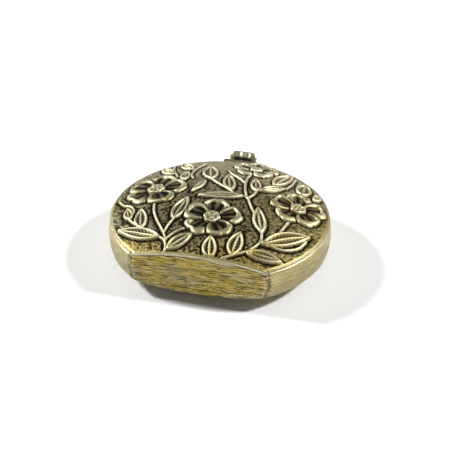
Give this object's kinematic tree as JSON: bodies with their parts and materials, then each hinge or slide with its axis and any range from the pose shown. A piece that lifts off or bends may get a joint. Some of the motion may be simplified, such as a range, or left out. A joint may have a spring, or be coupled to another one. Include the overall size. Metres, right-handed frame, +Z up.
{
  "type": "needle case",
  "caption": "Round domed metal needle case with one flat side, an embossed floral lid on a back hinge, and a small swinging bail.",
  "frame": {"origin": "centre of the flat foot on the domed back, on the axis of the round case", "axes": "+Z up through the embossed lid, -Y towards the flat front, +Y towards the hinge and bail, +X to the right seen from the front"},
  "size_m": [0.0508, 0.0498, 0.0156],
  "materials": {
    "gilt_brass": "antiqued, brushed with fine scratches",
    "embossed_brass": "antiqued, dark in the recesses and bright on raised edges",
    "hinge_brass": "worn satin",
    "steel_pin": "dull",
    "spring_brass": "satin",
    "wine_velvet": "short pile",
    "wine_felt": "felt",
    "cream_flannel": "plain weave, brushed",
    "green_thread": "twisted thread"
  },
  "bodies": {
    "base": {"back_plate": "gilt_brass", "side_band": "gilt_brass", "front_wall": "gilt_brass", "inner_collar": "spring_brass", "base_knuckle_left": "hinge_brass", "base_knuckle_middle": "hinge_brass", "base_knuckle_right": "hinge_brass", "hinge_pin": "steel_pin", "bail_lug": "hinge_brass", "bail_pin": "steel_pin", "catch_spring": "spring_brass", "needle_cushion": "wine_velvet", "needle_leaf_lower": "cream_flannel", "needle_leaf_upper": "cream_flannel", "leaf_stitches": "green_thread"},
    "lid": {"lid_plate": "embossed_brass", "lid_rim": "gilt_brass", "lid_front_lip": "gilt_brass", "lid_knuckle_left": "hinge_brass", "lid_knuckle_right": "hinge_brass", "catch_lug": "spring_brass", "lid_lining": "wine_felt"},
    "bail": {"bail": "hinge_brass"}
  },
  "joints": [
    {"name": "lid_hinge", "type": "hinge", "parent": "base", "child": "lid", "pos_m": [-0.001, 0.02535, 0.01], "axis": [-1, 0, 0], "range_deg": [0, 105]},
    {"name": "bail_swing", "type": "hinge", "parent": "base", "child": "bail", "pos_m": [-0.001, 0.0263, 0.0081], "axis": [-1, 0, 0], "range_deg": [0, 130]}
  ]
}
